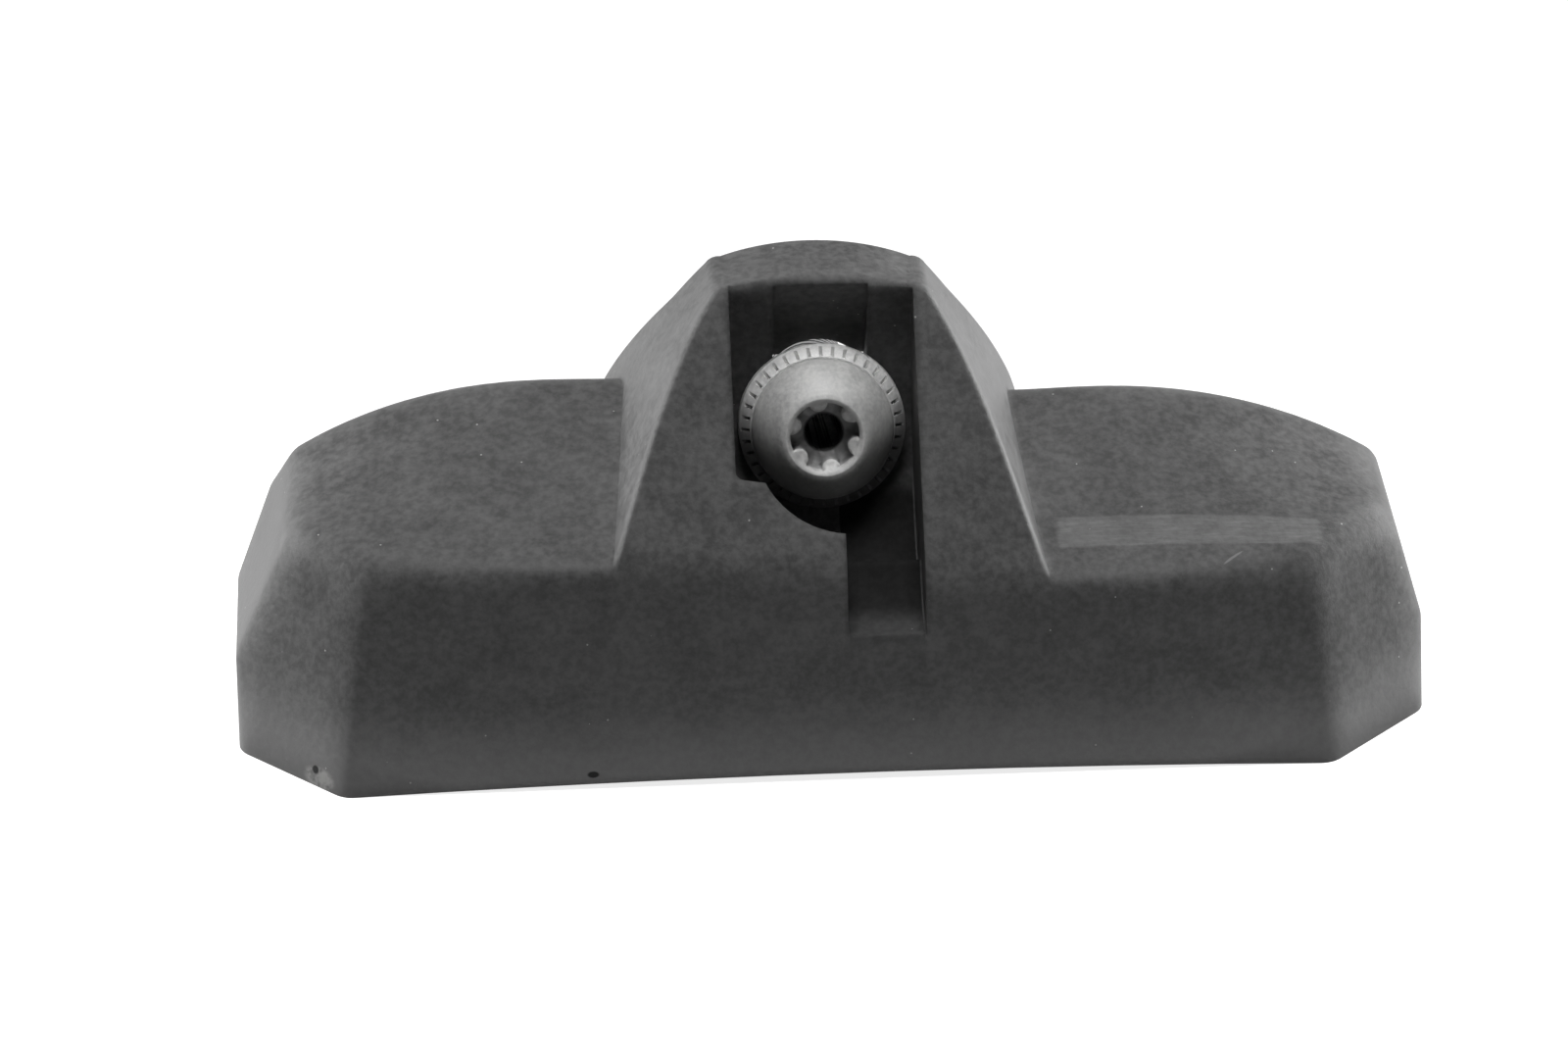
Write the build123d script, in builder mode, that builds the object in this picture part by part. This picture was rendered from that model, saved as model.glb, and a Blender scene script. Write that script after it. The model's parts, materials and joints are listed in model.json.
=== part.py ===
import os
from math import cos, hypot, radians, sin, sqrt

from build123d import *

os.makedirs("parts", exist_ok=True)

# Wings of the housing: millimetres, +Z up, -Y towards the screw head, +Y towards the valve
left_length = 33.0
right_length = 33.5
half_depth = 11.0
left_front_height = 13.0
right_front_height = 11.4
front_lean = 0.09
front_sweep = 2.4
wing_slope = 0.304
ridge_y = 5.3
ridge_fall = 3.8
rear_lean = 1.6
wing_start = 10.0
wing_overrun = 0.6
left_arc_run = 17.0
right_arc_run = 17.5
left_ridge_radius = 25.0
right_ridge_radius = 28.0
least_slope_rise = 0.5
end_straight = 5.0
left_end_lean = 22.0
right_end_lean = 16.0
corner_leg = 5.8
corner_lean = 12.0
rear_corner_leg = 3.6
rear_corner_lean = 6.0
wing_edge_round = 1.0
wing_edge_growth = 1.6
ridge_round = 2.5
shoulder_round = 2.5
end_edge_round = 1.6
end_zone = 8.0
arch_half_span = 27.0
arch_rise = 0.45

# Hump over the screw
hump_foot = 11.9
hump_height = 25.45
band_rise = 5.0
hump_front_lift = 1.5
hump_left_drop = 1.5
hump_right_drop = 2.0
hump_front_half = 5.35
hump_rear_half = 6.0
hump_left_spread = -3.7
hump_right_spread = -3.5
hump_front_bulge = 0.1
hump_left_bulge = 4.75
hump_right_bulge = 4.0
bulge_out = 0.8
bulge_up = 0.6
hump_roll = 3.86
face_edge_z = 12.2
face_run = 10.6
face_rise = 13.4
hump_rear_run = 5.7
hump_rear_drop = 3.5
hump_rear_lean = 0.6
rear_shoulder_z = 14.6
face_round = 3.5
front_corner_round = 1.8
rear_corner_round = 2.2
hump_front_round = 0.45
hump_rear_round = 0.4

# Valve screw, its seat and the pocket around it
screw_tilt = 15.5
seat_y = 0.96
head_centre_z = 16.76
washer_thickness = 1.9
seat_radius = 12.0
seat_wall = 3.2
pocket_centre_z = 16.3
pocket_half = 5.1
pocket_fall = 34.0
pocket_ledge = 3.35
pocket_depth = 6.55
pocket_top_round = 1.0
pocket_top_rise = 0.35
lip_fall = 0.25
lip_bend_x = -3.5
lip_mid_x = -2.1
lip_mid_share = 0.82
lip_round = 0.5
slot_width = 5.25
slot_top_z = 25.5
slot_reach = 8.0
slot_fall = 56.0
slot_travel = 1.75
groove_left = 0.8
groove_floor_z = 8.7
groove_toe_y = -10.4
groove_bend_y = -7.4
groove_bend_rise = 0.8
groove_heel_y = -5.9
groove_rise = 3.2
groove_drop = 1.2
groove_mouth_fall = 0.3
groove_toe_fall = 0.1
groove_top_run = 1.7
cradle_radius = 6.5
cradle_roof_z = 21.6
washer_radius = 4.65
washer_bore = 2.65
seat_gap = 0.12
washer_bevel = 0.62
tooth_count = 40
tooth_depth = 0.5
tooth_width = 0.2
tooth_length = 1.2
dome_radius = 3.95
dome_height = 2.7
dome_flat_radius = 2.2
dome_rim = 0.4
dome_mid_out = 0.78
dome_mid_up = 0.72
shank_radius = 2.5
shank_length = 18.5
shank_chamfer = 0.35
neck_radius = 2.3
neck_length = 5.3
air_hole_radius = 1.05
drive_tip_radius = 1.93
drive_valley_radius = 1.385
drive_lobe_radius = 0.5
drive_depth = 1.7
drive_mouth_radius = 2.13
drive_mouth_depth = 0.55
drive_turn = 10.0

# Inside of the shell
ledge_z = 2.0
rim_width = 1.7
end_wall = 3.6
wing_cavity_start = 11.6
wing_cavity_end = left_length - end_wall
wing_cavity_front = 8.4
wing_cavity_rear = 8.2
wing_cavity_top = 9.4
mid_cavity_top = 3.9
cover_thickness = 1.4
cover_gap = 0.15
bead_width = 1.0
bead_height = 0.45
port_radius = 0.6
filter_radius = 1.8
filter_thickness = 0.25
pad_y = 5.0
pad_radius = 1.0
recess_length = 26.0
recess_width = 12.0
recess_round = 1.5
recess_depth = 0.25

# Electronics
board_thickness = 1.0
board_gap = 0.3
board_trim = 0.2
cell_radius = 8.0
cell_height = 3.2
cell_rim = 0.7
cell_end_gap = 0.9
cell_x = cell_radius + cell_end_gap - wing_cavity_end
cell_y = -0.1
cap_radius = 6.85
gasket_inner = 6.95
gasket_outer = 7.45
skirt_inner = 7.55
skirt_gap = 0.2
gasket_drop = 0.05
tab_thickness = 0.15
tab_width = 4.0
tab_clear = 0.3
chip_inset = 12.4
chip_x = wing_cavity_end - chip_inset
chip_y = -3.2
chip_side = 6.0
chip_height = 1.9
chip_bevel = 0.3
small_part = 0.8
small_bevel = 0.08
strip_thickness = 0.3
strip_width = 1.5
strip_inset = 4.0
strip_start = chip_x - strip_inset
strip_end = wing_cavity_end - strip_inset
strip_slant = 1.5
bend_shift = 0.1
strip_y = 6.9
strip_top = 8.7
core_inset = 5.4
core_x = wing_cavity_end - core_inset
core_y = -3.2
core_length = 7.0
core_side = 1.8
winding_length = 4.4
winding_side = 2.8
winding_round = 0.45
flange_thickness = 1.0

tilt_c = cos(radians(screw_tilt))
tilt_s = sin(radians(screw_tilt))
seat_point = Vector(0, seat_y, head_centre_z - washer_thickness * tilt_s)
screw_plane = Plane(origin=seat_point, x_dir=(1, 0, 0), z_dir=(0, -tilt_c, tilt_s))
screw_line = Axis(seat_point, screw_plane.z_dir)
pivot = seat_point + screw_plane.z_dir * seat_radius


def wing_section(x, length, front_height, arc_run, ridge_radius):
    run = max(0.0, x - hump_foot) / (length + wing_overrun - hump_foot)
    along = max(0.0, x - length + arc_run)
    drop = ridge_radius - sqrt(ridge_radius**2 - along**2)
    y_start = front_lean * front_height - half_depth
    z_ridge = front_height + wing_slope * (ridge_y - y_start) - drop
    y_edge = y_start + front_sweep * run**2
    z_edge = min(front_height + wing_slope * (y_edge - y_start), z_ridge - least_slope_rise)
    return (y_edge, z_edge), (ridge_y, z_ridge), (half_depth - rear_lean, z_ridge - ridge_fall)


def wing_solid(length, front_height, arc_run, ridge_radius, end_lean):
    stations = 6
    step = (length + wing_overrun - wing_start) / stations
    with BuildPart() as wing:
        for k in range(stations + 1):
            x = wing_start + k * step
            edge, ridge, shoulder = wing_section(x, length, front_height, arc_run, ridge_radius)
            with BuildSketch(Plane.YZ.offset(x)) as section:
                with BuildLine():
                    Polyline((-half_depth, 0), edge, ridge, shoulder, (half_depth, 0), close=True)
                make_face()
                edge_round = wing_edge_round + wing_edge_growth * k / stations
                fillet(section.vertices().sort_by_distance(edge)[0], edge_round)
                fillet(section.vertices().sort_by_distance(ridge)[0], ridge_round)
                fillet(section.vertices().sort_by_distance(shoulder)[0], shoulder_round)
        loft()
        end_c = cos(radians(end_lean))
        end_s = sin(radians(end_lean))
        front_c = cos(radians(corner_lean)) / sqrt(2)
        front_s = sin(radians(corner_lean))
        rear_c = cos(radians(rear_corner_lean)) / sqrt(2)
        rear_s = sin(radians(rear_corner_lean))
        front_corner = (length, corner_leg - half_depth, 0)
        rear_corner = (length, half_depth - rear_corner_leg, 0)
        split(bisect_by=Plane(origin=(length, 0, 0), z_dir=(1, 0, 0)), keep=Keep.BOTTOM)
        split(bisect_by=Plane(origin=(length, 0, end_straight), z_dir=(end_c, 0, end_s)), keep=Keep.BOTTOM)
        split(bisect_by=Plane(origin=front_corner, z_dir=(front_c, -front_c, front_s)), keep=Keep.BOTTOM)
        split(bisect_by=Plane(origin=rear_corner, z_dir=(rear_c, rear_c, rear_s)), keep=Keep.BOTTOM)
        upper = wing.edges().filter_by(lambda e: e.position_at(0.5).Z > end_edge_round / 4)
        ends = upper.filter_by(lambda e: e.position_at(0.5).X > length - end_zone)
        short = ends.filter_by(lambda e: abs(e.position_at(0).X - e.position_at(1).X) < end_zone)
        fillet(short, end_edge_round)
    return wing.part


right_wing = wing_solid(right_length, right_front_height, right_arc_run, right_ridge_radius, right_end_lean)
left_blank = wing_solid(left_length, left_front_height, left_arc_run, left_ridge_radius, left_end_lean)
left_wing = mirror(left_blank, about=Plane.YZ)

# Side profile of the hump: front wall, sloping face and rear wall
roll_c = cos(radians(hump_roll))
roll_s = sin(radians(hump_roll))
face_length = hypot(face_run, face_rise)
face_normal = (face_run / face_length * roll_s, -face_rise / face_length, face_run / face_length * roll_c)
face_origin = (0, front_lean * face_edge_z - half_depth, face_edge_z)
face_plane = Plane(origin=face_origin, x_dir=(roll_c, 0, -roll_s), z_dir=face_normal)
band_top = hump_height + band_rise
rear_brow = (hump_rear_run, hump_height - hump_rear_drop)
rear_shoulder = (half_depth - rear_lean, rear_shoulder_z)
with BuildPart() as hump_band:
    with BuildSketch(Plane.YZ) as profile:
        with BuildLine():
            Polyline(
                (-half_depth, 0),
                (front_lean * band_top - half_depth, band_top),
                (hump_rear_run - hump_rear_lean, band_top),
                rear_brow,
                rear_shoulder,
                (half_depth, 0),
                close=True,
            )
        make_face()
        fillet(profile.vertices().sort_by_distance(rear_brow)[0], ridge_round)
        fillet(profile.vertices().sort_by_distance(rear_shoulder)[0], shoulder_round)
    extrude(amount=2 * hump_foot, both=True)
    split(bisect_by=face_plane, keep=Keep.BOTTOM)
    fillet(hump_band.edges().sort_by_distance(face_origin)[0], face_round)


# Front view of the hump at one depth, given by its left and right top corners and feet
def hump_section(y, left_top, right_top, left_foot, right_foot, left_bulge, right_bulge, corner_round):
    left_out = (left_foot + left_top[0]) / (left_top[1] - left_front_height) * left_top[1]
    right_out = (right_foot - right_top[0]) / (right_top[1] - right_front_height) * right_top[1]
    left_base = (left_top[0] - left_out, 0)
    right_base = (right_top[0] + right_out, 0)
    left_x = left_top[0] - left_out / 2 - bulge_out * left_bulge
    right_x = right_top[0] + right_out / 2 + bulge_out * right_bulge
    with BuildSketch(Plane.XZ.offset(-y)) as front:
        with BuildLine():
            ThreePointArc(left_base, (left_x, left_top[1] / 2 + bulge_up * left_bulge), left_top)
            ThreePointArc(left_top, (0, hump_height), right_top)
            ThreePointArc(right_top, (right_x, right_top[1] / 2 + bulge_up * right_bulge), right_base)
            Line(right_base, left_base)
        make_face()
        fillet(front.vertices().sort_by_distance(left_top)[0], corner_round)
        fillet(front.vertices().sort_by_distance(right_top)[0], corner_round)
    return front.sketch


front_view = hump_section(
    -half_depth,
    (-hump_front_half, hump_height + hump_front_lift),
    (hump_front_half, hump_height + hump_front_lift),
    hump_foot,
    hump_foot,
    hump_front_bulge,
    hump_front_bulge,
    front_corner_round,
)
rear_view = hump_section(
    half_depth,
    (-hump_rear_half, hump_height - hump_left_drop),
    (hump_rear_half, hump_height - hump_right_drop),
    hump_foot + hump_left_spread,
    hump_foot + hump_right_spread,
    hump_left_bulge,
    hump_right_bulge,
    rear_corner_round,
)

# Side profile of the pocket: a rear face curved about the tilt axis that rolls over onto the hump's top
roll_top = hump_height + pocket_top_rise
brow_z = roll_top - pocket_top_round
brow_y = pivot.Y + sqrt((seat_radius + pocket_top_round) ** 2 - (brow_z - pivot.Z) ** 2)
brow = Vector(0, brow_y, brow_z)
roll_start = pivot + (brow - pivot) * (seat_radius / (seat_radius + pocket_top_round))
roll_lean = (brow - pivot).normalized()
roll_mid = brow + (Vector(0, 0, 1) - roll_lean).normalized() * pocket_top_round
seat_low = (pivot.Y, pivot.Z - seat_radius)
seat_rear = (pivot.Y + seat_radius, pivot.Z)
far_front = pivot.Y - 2 * seat_radius
far_top = hump_height + seat_radius

# Front view of the pocket: upright sides and a lip below that is cut steeply inwards
fall_c = cos(radians(pocket_fall))
fall_s = sin(radians(pocket_fall))
pocket_plane = Plane(origin=(0, 0, pocket_centre_z), x_dir=(1, 0, 0), z_dir=(0, -fall_c, fall_s))
lip_corner = (-pocket_half, -pocket_ledge)
lip_bend = (lip_bend_x, -pocket_ledge - lip_fall)
lip_low = (groove_left, -pocket_depth)
lip_mid = (lip_mid_x, -pocket_depth * lip_mid_share)
pocket_low = -pocket_depth - groove_drop
with BuildPart() as pocket:
    with BuildSketch(pocket_plane) as lip:
        with BuildLine():
            Line((-pocket_half, far_top), lip_corner)
            Line(lip_corner, lip_bend)
            ThreePointArc(lip_bend, lip_mid, lip_low)
            Polyline(lip_low, (groove_left, pocket_low), (pocket_half, pocket_low), (pocket_half, far_top))
            Line((pocket_half, far_top), (-pocket_half, far_top))
        make_face()
        fillet(lip.vertices().sort_by_distance(lip_corner)[0], lip_round)
    extrude(amount=2 * seat_radius, both=True)
    with BuildSketch(Plane.YZ):
        with BuildLine():
            ThreePointArc(seat_low, seat_rear, (roll_start.Y, roll_start.Z))
            ThreePointArc((roll_start.Y, roll_start.Z), (roll_mid.Y, roll_mid.Z), (brow_y, roll_top))
            Polyline((brow_y, roll_top), (brow_y, far_top), (far_front, far_top))
            Polyline((far_front, far_top), (far_front, seat_low[1]), seat_low)
        make_face()
    extrude(amount=2 * pocket_half, both=True, mode=Mode.INTERSECT)

# Slot for the shank through the seat wall, closed above by a face that falls to the rear
slot_s = sin(radians(slot_fall))
slot_c = cos(radians(slot_fall))
with BuildPart() as slot:
    with BuildSketch(screw_plane):
        with Locations((0, seat_radius / 2)):
            Rectangle(slot_width, seat_radius)
        Circle(slot_width / 2)
    extrude(amount=slot_reach, both=True)
    split(bisect_by=Plane(origin=(0, 0, slot_top_z), z_dir=(0, slot_s, slot_c)), keep=Keep.BOTTOM)
    with BuildSketch(screw_plane):
        with Locations((0, slot_travel / 2)):
            SlotCenterToCenter(slot_travel, slot_width, rotation=90)
    extrude(amount=slot_reach, both=True)

# Groove that runs out of the pocket at its lower right
groove_front = -half_depth - 3
groove_mouth = (groove_front, groove_floor_z - groove_mouth_fall)
groove_toe = (groove_toe_y, groove_floor_z - groove_toe_fall)
groove_heel = (groove_heel_y, groove_floor_z + groove_rise)
groove_top = (groove_heel_y + groove_top_run, pocket_centre_z)
with BuildPart() as groove:
    with BuildSketch(Plane.YZ.offset(groove_left)):
        with BuildLine():
            Line(groove_mouth, groove_toe)
            ThreePointArc(groove_toe, (groove_bend_y, groove_floor_z + groove_bend_rise), groove_heel)
            Polyline(groove_heel, groove_top, (groove_front, pocket_centre_z), groove_mouth)
        make_face()
    extrude(amount=pocket_half - groove_left)

# Cradle behind the seat wall for the foot of a valve
with BuildPart() as cradle:
    with BuildSketch(screw_plane):
        with Locations((0, cradle_radius)):
            Rectangle(2 * cradle_radius, 2 * cradle_radius)
        Circle(cradle_radius)
    extrude(amount=-3 * half_depth)
    split(bisect_by=Plane(origin=(0, 0, cradle_roof_z), z_dir=(0, 0, 1)), keep=Keep.BOTTOM)
    with BuildSketch(Plane.YZ):
        with Locations((pivot.Y, pivot.Z)):
            Circle(seat_radius + seat_wall)
    extrude(amount=2 * cradle_radius, both=True, mode=Mode.SUBTRACT)

with BuildPart() as hump:
    add(front_view)
    add(rear_view)
    loft(ruled=True)
    add(hump_band.part, mode=Mode.INTERSECT)
    curved = hump.edges().filter_by(lambda e: e.geom_type != GeomType.LINE and e.position_at(0.5).Z > ledge_z)
    front_rim = curved.filter_by(lambda e: max(e.position_at(0).Y, e.position_at(1).Y) < hump_rear_run / 2)
    fillet(front_rim, hump_front_round)
    curved = hump.edges().filter_by(lambda e: e.geom_type != GeomType.LINE and e.position_at(0.5).Z > ledge_z)
    rear_rim = curved.filter_by(lambda e: min(e.position_at(0).Y, e.position_at(1).Y) > hump_rear_run / 2 + 1)
    fillet(rear_rim, hump_rear_round)

base_outline = [
    (corner_leg - left_length, -half_depth),
    (right_length - corner_leg, -half_depth),
    (right_length, corner_leg - half_depth),
    (right_length, half_depth - rear_corner_leg),
    (right_length - rear_corner_leg, half_depth),
    (rear_corner_leg - left_length, half_depth),
    (-left_length, half_depth - rear_corner_leg),
    (-left_length, corner_leg - half_depth),
]
room_corner = corner_leg - 0.4
wing_room = [
    (wing_cavity_start, -wing_cavity_front),
    (wing_cavity_end - room_corner, -wing_cavity_front),
    (wing_cavity_end, room_corner - wing_cavity_front),
    (wing_cavity_end, wing_cavity_rear - rear_corner_leg),
    (wing_cavity_end - rear_corner_leg, wing_cavity_rear),
    (wing_cavity_start, wing_cavity_rear),
]
arch_radius = (arch_half_span**2 + arch_rise**2) / (2 * arch_rise)

with BuildPart() as housing:
    add(hump.part)
    add(right_wing)
    add(left_wing)
    with BuildSketch(Plane.XZ):
        with Locations((0, arch_rise - arch_radius)):
            Circle(arch_radius)
    extrude(amount=2 * half_depth, both=True, mode=Mode.SUBTRACT)
    add(pocket.part, mode=Mode.SUBTRACT)
    add(slot.part, mode=Mode.SUBTRACT)
    add(groove.part, mode=Mode.SUBTRACT)
    add(cradle.part, mode=Mode.SUBTRACT)
    with BuildSketch():
        with BuildLine():
            Polyline(*base_outline, close=True)
        make_face()
        offset(amount=-rim_width, kind=Kind.INTERSECTION, mode=Mode.REPLACE)
    extrude(amount=ledge_z, mode=Mode.SUBTRACT)
    with BuildSketch(Plane.XY.offset(ledge_z)):
        Rectangle(2 * wing_cavity_start + 2, 2 * wing_cavity_rear)
    extrude(amount=mid_cavity_top - ledge_z, mode=Mode.SUBTRACT)
    with BuildSketch(Plane.XY.offset(ledge_z)):
        with BuildLine():
            Polyline(*wing_room, close=True)
        make_face()
        mirror(about=Plane.YZ)
    extrude(amount=wing_cavity_top - ledge_z, mode=Mode.SUBTRACT)

housing.part.label = "housing"
export_step(housing.part, "parts/housing.step")

# Seat washer: bevelled and notched front rim, rear face curved to slide on the seat
with BuildPart() as seat_washer:
    with BuildSketch(screw_plane):
        Circle(washer_radius)
        Circle(washer_bore, mode=Mode.SUBTRACT)
    extrude(amount=washer_thickness)
    chamfer(seat_washer.faces().sort_by(screw_line)[-1].outer_wire().edges(), washer_bevel)
    with BuildSketch(Plane.YZ):
        with Locations((pivot.Y, pivot.Z)):
            Circle(seat_radius - seat_gap)
    extrude(amount=2 * washer_radius, both=True, mode=Mode.INTERSECT)
    with BuildSketch(screw_plane.offset(washer_thickness)):
        with PolarLocations(washer_radius, tooth_count):
            Rectangle(tooth_length, tooth_width)
    extrude(amount=-tooth_depth, mode=Mode.SUBTRACT)

seat_washer.part.label = "seat_washer"
export_step(seat_washer.part, "parts/seat_washer.step")

# Hollow screw: domed head, six-lobe drive, shank at its thread crest
head_plane = screw_plane.offset(washer_thickness)
dome_mid = (dome_mid_out * dome_radius, dome_mid_up * dome_height)
with BuildPart() as valve_screw:
    with BuildSketch(Plane(origin=head_plane.origin, x_dir=(1, 0, 0), z_dir=(0, -tilt_s, -tilt_c))):
        with BuildLine():
            Line((0, 0), (dome_radius, 0))
            Line((dome_radius, 0), (dome_radius, dome_rim))
            ThreePointArc((dome_radius, dome_rim), dome_mid, (dome_flat_radius, dome_height))
            Line((dome_flat_radius, dome_height), (0, dome_height))
            Line((0, dome_height), (0, 0))
        make_face()
    revolve(axis=screw_line)
    with BuildSketch(head_plane):
        Circle(shank_radius)
    extrude(amount=-shank_length)
    with BuildSketch(head_plane):
        Circle(shank_radius + 0.5)
        Circle(neck_radius, mode=Mode.SUBTRACT)
    extrude(amount=-neck_length, mode=Mode.SUBTRACT)
    with BuildSketch(head_plane.offset(dome_height)):
        Circle(air_hole_radius)
    extrude(amount=-shank_length - dome_height - 1, mode=Mode.SUBTRACT)
    with BuildSketch(head_plane.offset(dome_height - drive_depth)):
        Circle(drive_tip_radius)
        with PolarLocations(drive_valley_radius + drive_lobe_radius, 6, start_angle=drive_turn + 30):
            Circle(drive_lobe_radius, mode=Mode.SUBTRACT)
    extrude(amount=drive_depth, mode=Mode.SUBTRACT)
    with BuildSketch(head_plane.offset(dome_height)):
        Circle(drive_mouth_radius)
    extrude(amount=-drive_mouth_depth, taper=45, mode=Mode.SUBTRACT)
    rims = valve_screw.edges().filter_by(GeomType.CIRCLE).sort_by(screw_line)
    chamfer(rims.filter_by(lambda e: abs(e.radius - shank_radius) < 0.01)[0], shank_chamfer)

valve_screw.part.label = "valve_screw"
export_step(valve_screw.part, "parts/valve_screw.step")

# Base cover with its pressure port and four pads that hold the board
with BuildPart() as base_cover:
    with BuildSketch(Plane.XY.offset(ledge_z)):
        with BuildLine():
            Polyline(*base_outline, close=True)
        make_face()
        offset(amount=-rim_width - cover_gap, kind=Kind.INTERSECTION, mode=Mode.REPLACE)
    extrude(amount=-cover_thickness)
    with BuildSketch(Plane.XY.offset(ledge_z)):
        with GridLocations(2 * core_x, 2 * pad_y, 2, 2):
            Circle(pad_radius)
    extrude(amount=mid_cavity_top - board_thickness - ledge_z)
    with BuildSketch(Plane.XY.offset(ledge_z - cover_thickness)):
        with Locations((cell_x + cell_radius, 0)):
            RectangleRounded(recess_length, recess_width, recess_round)
    extrude(amount=recess_depth, mode=Mode.SUBTRACT)
    with BuildSketch(Plane.XY.offset(ledge_z)):
        with Locations((chip_x, chip_y)):
            Circle(port_radius)
    extrude(amount=-cover_thickness, mode=Mode.SUBTRACT)

base_cover.part.label = "base_cover"
export_step(base_cover.part, "parts/base_cover.step")

# Sealing bead along the seam of the cover
with BuildPart() as cover_bead:
    with BuildSketch(Plane.XY.offset(ledge_z - cover_thickness)):
        with BuildLine():
            Polyline(*base_outline, close=True)
        make_face()
        offset(amount=-rim_width, kind=Kind.INTERSECTION, mode=Mode.REPLACE)
        offset(amount=-bead_width, kind=Kind.INTERSECTION, mode=Mode.SUBTRACT)
    extrude(amount=-bead_height)

cover_bead.part.label = "cover_bead"
export_step(cover_bead.part, "parts/cover_bead.step")

with BuildPart() as port_filter:
    with BuildSketch(Plane.XY.offset(ledge_z)):
        with Locations((chip_x, chip_y)):
            Circle(filter_radius)
    extrude(amount=filter_thickness)

port_filter.part.label = "port_filter"
export_step(port_filter.part, "parts/port_filter.step")

# Circuit board that follows the inside of the shell
board_z = mid_cavity_top - board_thickness
with BuildPart() as circuit_board:
    with BuildSketch(Plane.XY.offset(board_z)):
        with BuildLine():
            Polyline(
                (wing_cavity_end - corner_leg - board_trim, board_gap - wing_cavity_front),
                (wing_cavity_end - board_gap, corner_leg - wing_cavity_front),
                (wing_cavity_end - board_gap, wing_cavity_rear - rear_corner_leg - board_trim),
                (wing_cavity_end - rear_corner_leg - board_trim, wing_cavity_rear - board_gap),
                (rear_corner_leg + board_trim - wing_cavity_end, wing_cavity_rear - board_gap),
                (board_gap - wing_cavity_end, wing_cavity_rear - rear_corner_leg - board_trim),
                (board_gap - wing_cavity_end, corner_leg - wing_cavity_front),
                (corner_leg + board_trim - wing_cavity_end, board_gap - wing_cavity_front),
                close=True,
            )
        make_face()
    extrude(amount=board_thickness)

circuit_board.part.label = "circuit_board"
export_step(circuit_board.part, "parts/circuit_board.step")

# Coin cell: cap below, gasket ring and can
cell_z = mid_cavity_top + tab_thickness
with BuildPart() as battery_can:
    with BuildSketch(Plane.XY.offset(cell_z + cell_rim)):
        with Locations((cell_x, cell_y)):
            Circle(cell_radius)
    extrude(amount=cell_height - cell_rim)
    chamfer(battery_can.edges().sort_by(Axis.Z)[-1], skirt_gap)
    with BuildSketch(Plane.XY.offset(cell_z + skirt_gap)):
        with Locations((cell_x, cell_y)):
            Circle(cell_radius)
            Circle(skirt_inner, mode=Mode.SUBTRACT)
    extrude(amount=cell_rim - skirt_gap)

battery_can.part.label = "battery_can"
export_step(battery_can.part, "parts/battery_can.step")

with BuildPart() as battery_gasket:
    with BuildSketch(Plane.XY.offset(cell_z + skirt_gap + gasket_drop)):
        with Locations((cell_x, cell_y)):
            Circle(gasket_outer)
            Circle(gasket_inner, mode=Mode.SUBTRACT)
    extrude(amount=cell_rim - skirt_gap - gasket_drop)

battery_gasket.part.label = "battery_gasket"
export_step(battery_gasket.part, "parts/battery_gasket.step")

with BuildPart() as battery_cap:
    with BuildSketch(Plane.XY.offset(cell_z)):
        with Locations((cell_x, cell_y)):
            Circle(cap_radius)
    extrude(amount=cell_rim)

battery_cap.part.label = "battery_cap"
export_step(battery_cap.part, "parts/battery_cap.step")

# Welded tabs of the cell
cell_top = cell_z + cell_height
tab_drop_x = cell_x + cell_radius + tab_clear
with BuildPart() as tab_positive:
    with BuildSketch(Plane.XZ.offset(-cell_y)):
        with BuildLine():
            Polyline(
                (cell_x - tab_width / 2, cell_top),
                (tab_drop_x, cell_top),
                (tab_drop_x, mid_cavity_top),
                (tab_drop_x + tab_thickness, mid_cavity_top),
                (tab_drop_x + tab_thickness, cell_top + tab_thickness),
                (cell_x - tab_width / 2, cell_top + tab_thickness),
                close=True,
            )
        make_face()
    extrude(amount=tab_width / 2, both=True)

tab_positive.part.label = "tab_positive"
export_step(tab_positive.part, "parts/tab_positive.step")

with BuildPart() as tab_negative:
    with BuildSketch(Plane.XY.offset(mid_cavity_top)):
        with Locations((cell_x - 3 * tab_width / 4, cell_y)):
            RectangleRounded(9 * tab_width / 4, tab_width, tab_width / 8)
    extrude(amount=tab_thickness)

tab_negative.part.label = "tab_negative"
export_step(tab_negative.part, "parts/tab_negative.step")


# Packages on the board: a block with its upper edges bevelled, placed from the sensor chip
def package(name, shift_x, y, length, width, height, bevel):
    with BuildPart() as block:
        with BuildSketch(Plane.XY.offset(mid_cavity_top)):
            with Locations((chip_x + shift_x, y)):
                Rectangle(length, width)
        extrude(amount=height)
        chamfer(block.edges().group_by(Axis.Z)[-1], bevel)
    block.part.label = name
    export_step(block.part, "parts/" + name + ".step")


unit = small_part
package("sensor_chip", 0, chip_y, chip_side, chip_side, chip_height, chip_bevel)
package("transmitter_chip", -unit, 3.75 * unit, 5 * unit, 5 * unit, chip_height / 2, chip_bevel / 2)
package("crystal", 5.75 * unit, 4 * unit, 4 * unit, 3 * unit, unit, chip_bevel / 2)
package("inductor", -4.5 * unit, 0, 1.5 * unit, 2.5 * unit, 1.5 * unit, small_bevel)
package("capacitor_a", 5.25 * unit, 0.5 * unit, 2 * unit, unit, unit, small_bevel)
package("capacitor_b", 8.25 * unit, 0.5 * unit, 2 * unit, unit, unit, small_bevel)
package("capacitor_c", 9.5 * unit, 4 * unit, unit, 2 * unit, unit, small_bevel)

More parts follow.
